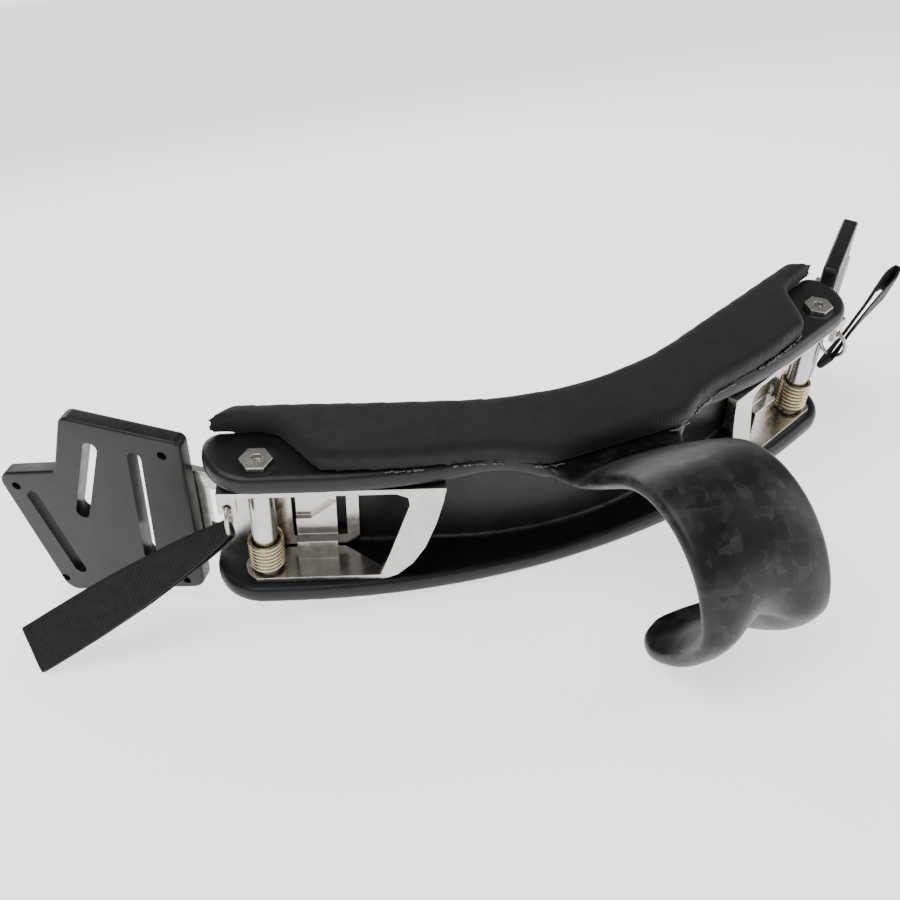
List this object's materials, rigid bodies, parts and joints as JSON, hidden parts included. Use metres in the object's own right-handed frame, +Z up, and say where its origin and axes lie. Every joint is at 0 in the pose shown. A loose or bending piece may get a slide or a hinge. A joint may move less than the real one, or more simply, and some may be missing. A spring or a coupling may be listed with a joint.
{
  "type": "kite harness spreader bar",
  "caption": "Curved channel bar with a fixed hook for a kite harness, with spring-closed release levers and latched strap plates at its ends.",
  "frame": {"origin": "centre of the bounding box's footprint, on the surface the bar rests on", "axes": "+X along the bar to the right strap plate, with the bar's own middle at x = 3.63 mm because the left pull reaches further out, -Y towards the hook, +Z up; the bar leans forward on the front of its lower lip and the lowest corners of its strap plates"},
  "size_m": [0.4492, 0.2352, 0.0972],
  "materials": {
    "shell": "satin moulded composite with a marbled carbon look on the hook",
    "foam": "matt black foam with fine ribs",
    "steel": "polished stainless steel",
    "spring": "bright spring wire with a warm tint",
    "anodised": "satin black anodised",
    "webbing": "coarse black webbing"
  },
  "bodies": {
    "bar": {"bar_shell": "shell", "foam_pad": "foam", "pivot_bolt_left": "steel", "pivot_sleeve_left": "steel", "pivot_nut_left": "steel", "torsion_spring_left": "spring", "pivot_bolt_right": "steel", "pivot_sleeve_right": "steel", "pivot_nut_right": "steel", "torsion_spring_right": "spring"},
    "lever_left": {"release_lever_left": "steel", "latch_pawl_left": "steel"},
    "buckle_left": {"tongue_left": "steel", "strap_plate_left": "anodised", "plate_screws_left": "steel"},
    "pull_left": {"pull_ring_left": "steel", "pull_strap_left": "webbing"},
    "lever_right": {"release_lever_right": "steel", "latch_pawl_right": "steel"},
    "buckle_right": {"tongue_right": "steel", "strap_plate_right": "anodised", "plate_screws_right": "steel"},
    "pull_right": {"pull_ring_right": "steel", "pull_strap_right": "webbing"}
  },
  "joints": [
    {"name": "lever_left_swing", "type": "hinge", "parent": "bar", "child": "lever_left", "pos_m": [-0.12637, 0.03081, 0.04422], "axis": [0, 0.3469, -0.9379], "range_deg": [0, 28], "stiffness_Nm_per_rad": 0.12, "springref_deg": -28.65},
    {"name": "buckle_left_slide", "type": "slide", "parent": "bar", "child": "buckle_left", "axis": [-0.9367, 0.3285, 0.1215], "range_m": [0, 0.006]},
    {"name": "pull_left_swing", "type": "hinge", "parent": "lever_left", "child": "pull_left", "pos_m": [-0.13997, 0.02258, 0.06036], "axis": [0, 0.3469, -0.9379], "range_deg": [-29, 0]},
    {"name": "lever_right_swing", "type": "hinge", "parent": "bar", "child": "lever_right", "pos_m": [0.13363, 0.03081, 0.04422], "axis": [0, -0.3469, 0.9379], "range_deg": [0, 28], "stiffness_Nm_per_rad": 0.12, "springref_deg": -28.65},
    {"name": "buckle_right_slide", "type": "slide", "parent": "bar", "child": "buckle_right", "axis": [0.9367, 0.3285, 0.1215], "range_m": [0, 0.006]},
    {"name": "pull_right_swing", "type": "hinge", "parent": "lever_right", "child": "pull_right", "pos_m": [0.14723, 0.02258, 0.06036], "axis": [0, -0.3469, 0.9379], "range_deg": [-29, 0]}
  ],
  "couplings": [
    {"joint": "buckle_left_slide", "follows": "lever_left_swing", "m_per_rad": 0.0115},
    {"joint": "pull_left_swing", "follows": "lever_left_swing", "ratio": -1},
    {"joint": "buckle_right_slide", "follows": "lever_right_swing", "m_per_rad": 0.0115},
    {"joint": "pull_right_swing", "follows": "lever_right_swing", "ratio": -1}
  ]
}
